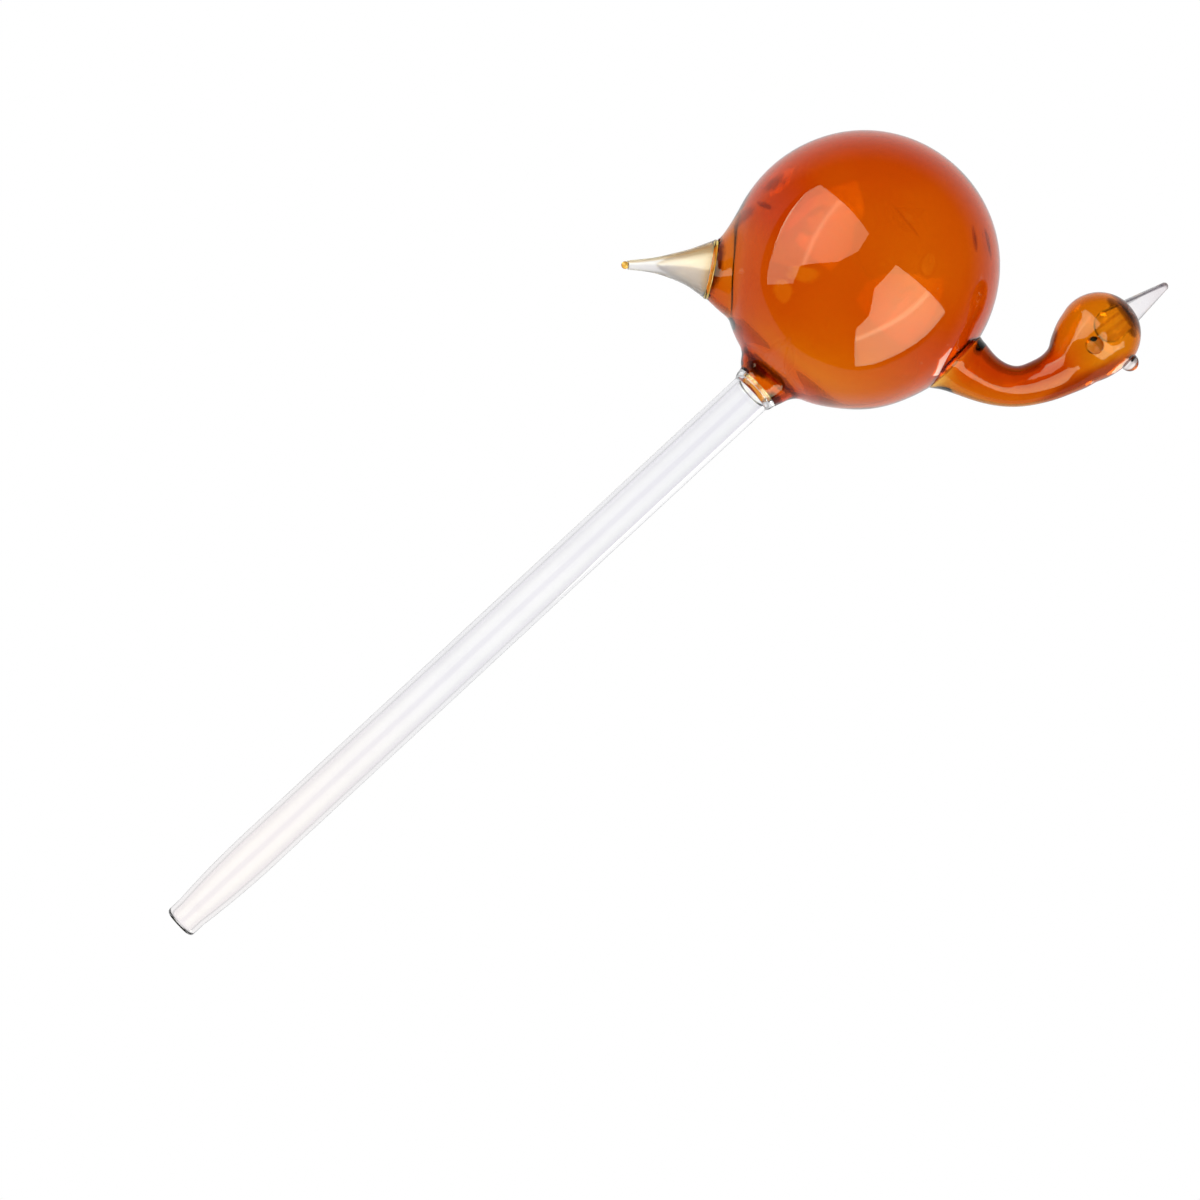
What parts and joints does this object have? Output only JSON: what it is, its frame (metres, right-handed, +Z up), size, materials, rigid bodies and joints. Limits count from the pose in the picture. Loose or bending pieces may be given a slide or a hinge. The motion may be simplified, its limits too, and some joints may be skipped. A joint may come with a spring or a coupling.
{
  "type": "watering globe",
  "caption": "Blown glass bird on a long hollow stem: filled with water and pushed tip down into the soil of a potted plant, it lets the water out slowly.",
  "frame": {"origin": "centre of the stem's open tip, on the plane of its rim", "axes": "+Z up the stem towards the globe, +X towards the bird's head, and the whole bird lies in the XZ plane"},
  "size_m": [0.1072, 0.0684, 0.2928],
  "materials": {
    "stem_glass": "fire-polished gloss",
    "clear_glass": "fire-polished gloss",
    "globe_amber": "fire-polished gloss",
    "neck_amber": "fire-polished gloss",
    "beak_glass": "fire-polished gloss",
    "eye_glass": "fire-polished gloss",
    "pupil_black": "fire-polished gloss",
    "golden_glass": "fire-polished gloss",
    "ivory_glass": "fire-polished gloss",
    "tip_amber": "fire-polished gloss"
  },
  "bodies": {
    "root": {"stem_tube": "stem_glass", "stem_weld_ring": "clear_glass", "globe": "globe_amber", "neck_and_head": "neck_amber", "beak": "beak_glass", "eye_bead_front": "eye_glass", "eye_bead_side": "eye_glass", "pupil_front": "pupil_black", "pupil_side": "pupil_black", "tail_weld_ring": "golden_glass", "tail_cone": "ivory_glass", "tail_tip": "tip_amber"}
  },
  "joints": []
}
